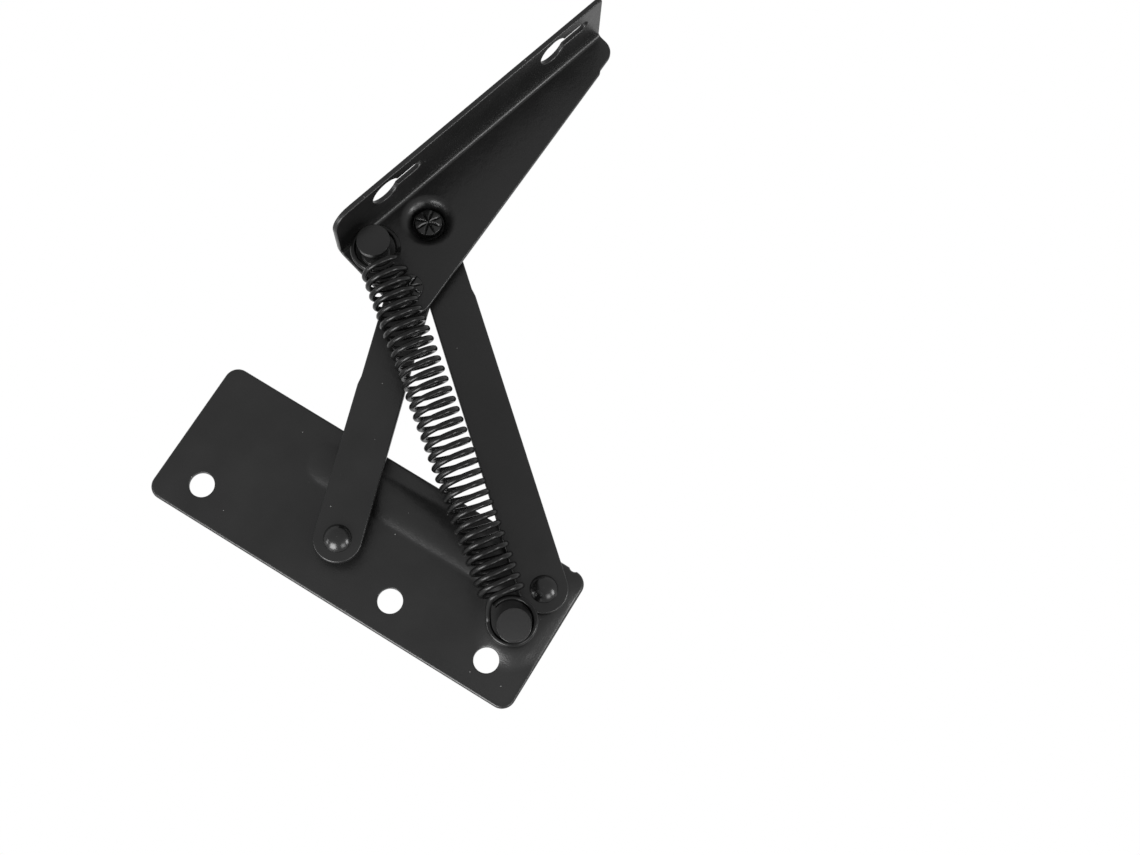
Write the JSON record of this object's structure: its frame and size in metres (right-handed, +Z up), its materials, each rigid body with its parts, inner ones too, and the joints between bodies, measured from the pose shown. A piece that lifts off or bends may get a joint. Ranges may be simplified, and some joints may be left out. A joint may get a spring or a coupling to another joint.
{
  "type": "sofa bed hinge",
  "caption": "Spring-assisted sofa bed hinge: base plate, two flat links, an angled bracket with keyholes, and a tension spring that holds it open or shut.",
  "frame": {"origin": "midway between the two outer screw holes of the base plate, on the plate's back face", "axes": "+X along the base plate towards the lower spring stud, +Z up towards the bracket, +Y out of the plate's back face"},
  "size_m": [0.15, 0.0382, 0.2341],
  "materials": {
    "plate_paint": "satin black paint over pressed sheet steel",
    "link_paint": "satin black paint over flat steel bar",
    "bracket_paint": "satin black paint over bent sheet steel",
    "hardware_paint": "glossy black paint over steel rivets and studs",
    "spring_paint": "glossy black paint over spring wire"
  },
  "bodies": {
    "base": {"base_plate": "plate_paint", "short_link_spacer": "hardware_paint", "short_link_rivet": "hardware_paint", "long_link_rivet": "hardware_paint", "lower_spring_stud": "hardware_paint"},
    "short_link": {"short_link": "link_paint"},
    "long_link": {"long_link": "link_paint", "long_link_rivet_tail": "hardware_paint"},
    "bracket": {"bracket": "bracket_paint", "long_link_star_rivet": "hardware_paint", "short_link_star_rivet": "hardware_paint", "upper_spring_stud": "hardware_paint"},
    "spring": {"spring": "spring_paint"},
    "spring_end": {"spring_upper_eye": "spring_paint"}
  },
  "joints": [
    {"name": "short_link_pivot", "type": "hinge", "parent": "base", "child": "short_link", "pos_m": [-0.0064, -0.00875, 0.008], "axis": [0, -1, 0], "range_deg": [0, 66], "stiffness_Nm_per_rad": 1, "springref_deg": -28.65},
    {"name": "bracket_pivot", "type": "hinge", "parent": "short_link", "child": "bracket", "pos_m": [-0.0346, -0.01, 0.09798], "axis": [0, -1, 0], "range_deg": [-140.74, 0]},
    {"name": "long_link_pivot", "type": "hinge", "parent": "base", "child": "long_link", "pos_m": [0.0636, -0.006, 0.0308], "axis": [0, -1, 0], "range_deg": [0, 39.96]},
    {"name": "spring_swing", "type": "hinge", "parent": "base", "child": "spring", "pos_m": [0.0622, -0.0148, 0.0133], "axis": [0, -1, 0], "range_deg": [0, 29.82]},
    {"name": "spring_stretch", "type": "slide", "parent": "spring", "child": "spring_end", "axis": [-0.7872, 0, 0.6166], "range_m": [0, 0.01896], "deforming": ["spring", "spring_upper_eye"]}
  ],
  "couplings": [
    {"joint": "bracket_pivot", "follows": "short_link_pivot", "ratio": -2.1324},
    {"joint": "long_link_pivot", "follows": "short_link_pivot", "ratio": 0.60542},
    {"joint": "spring_swing", "follows": "short_link_pivot", "ratio": 0.45179},
    {"joint": "spring_stretch", "follows": "short_link_pivot", "m_per_rad": 0.016453}
  ]
}
